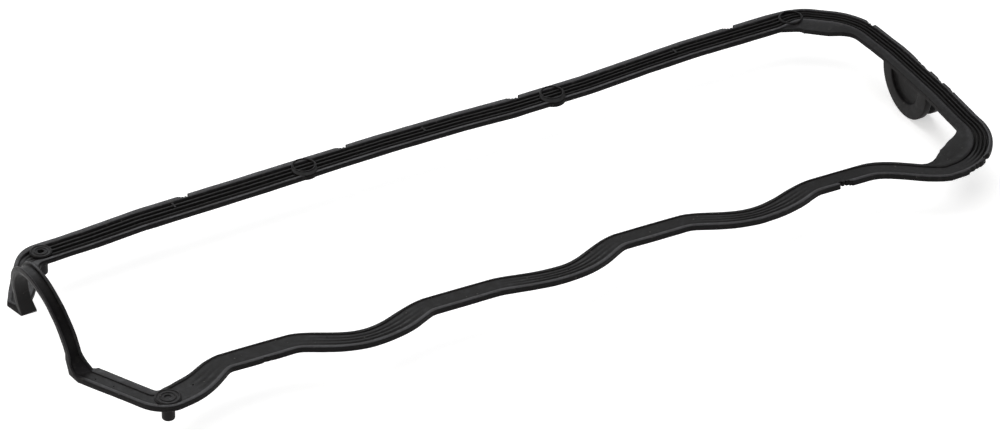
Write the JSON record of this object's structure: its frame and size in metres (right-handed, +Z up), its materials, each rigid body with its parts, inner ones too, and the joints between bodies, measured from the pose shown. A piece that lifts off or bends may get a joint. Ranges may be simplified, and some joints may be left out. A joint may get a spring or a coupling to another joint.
{
  "type": "valve cover gasket",
  "caption": "Moulded rubber valve cover gasket: ribbed loop with a wavy side, a camshaft arch at one end and a half-moon plug at the other.",
  "frame": {"origin": "under the middle of the gasket, at the level of the bottom of the half-moon plug", "axes": "+X along the engine from the arch to the half-moon plug, +Y from the wavy side to the straight side, +Z up"},
  "size_m": [0.4118, 0.1406, 0.0539],
  "materials": {
    "rubber": "satin"
  },
  "bodies": {
    "root": {"valve_cover_gasket": "rubber"}
  },
  "joints": []
}
